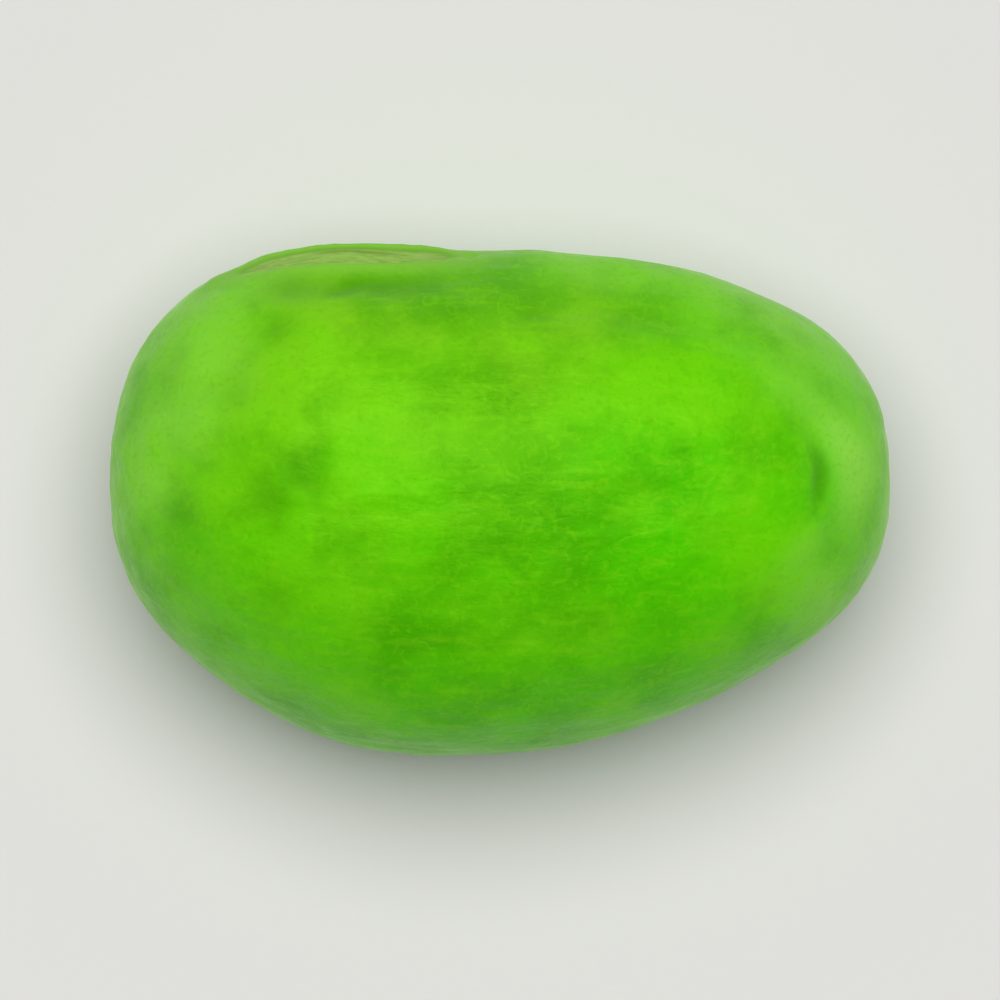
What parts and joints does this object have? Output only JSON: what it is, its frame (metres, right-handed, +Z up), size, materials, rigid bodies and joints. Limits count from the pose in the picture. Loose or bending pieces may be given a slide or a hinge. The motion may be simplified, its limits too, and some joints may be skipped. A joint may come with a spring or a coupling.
{
  "type": "shelled edamame bean",
  "caption": "Plump oval green soybean seed, shelled, with a long pale hilum scar on one side, lying on its broad side.",
  "frame": {"origin": "on the resting surface, under the middle of the bean's bounding box", "axes": "+X along the bean, away from the end that the hilum is nearer to; +Y towards the hilum side; +Z up, out of the broad side that faces up at rest"},
  "size_m": [0.0166, 0.011, 0.0086],
  "materials": {
    "seed_coat": "satin"
  },
  "bodies": {
    "root": {"bean": "seed_coat"}
  },
  "joints": []
}
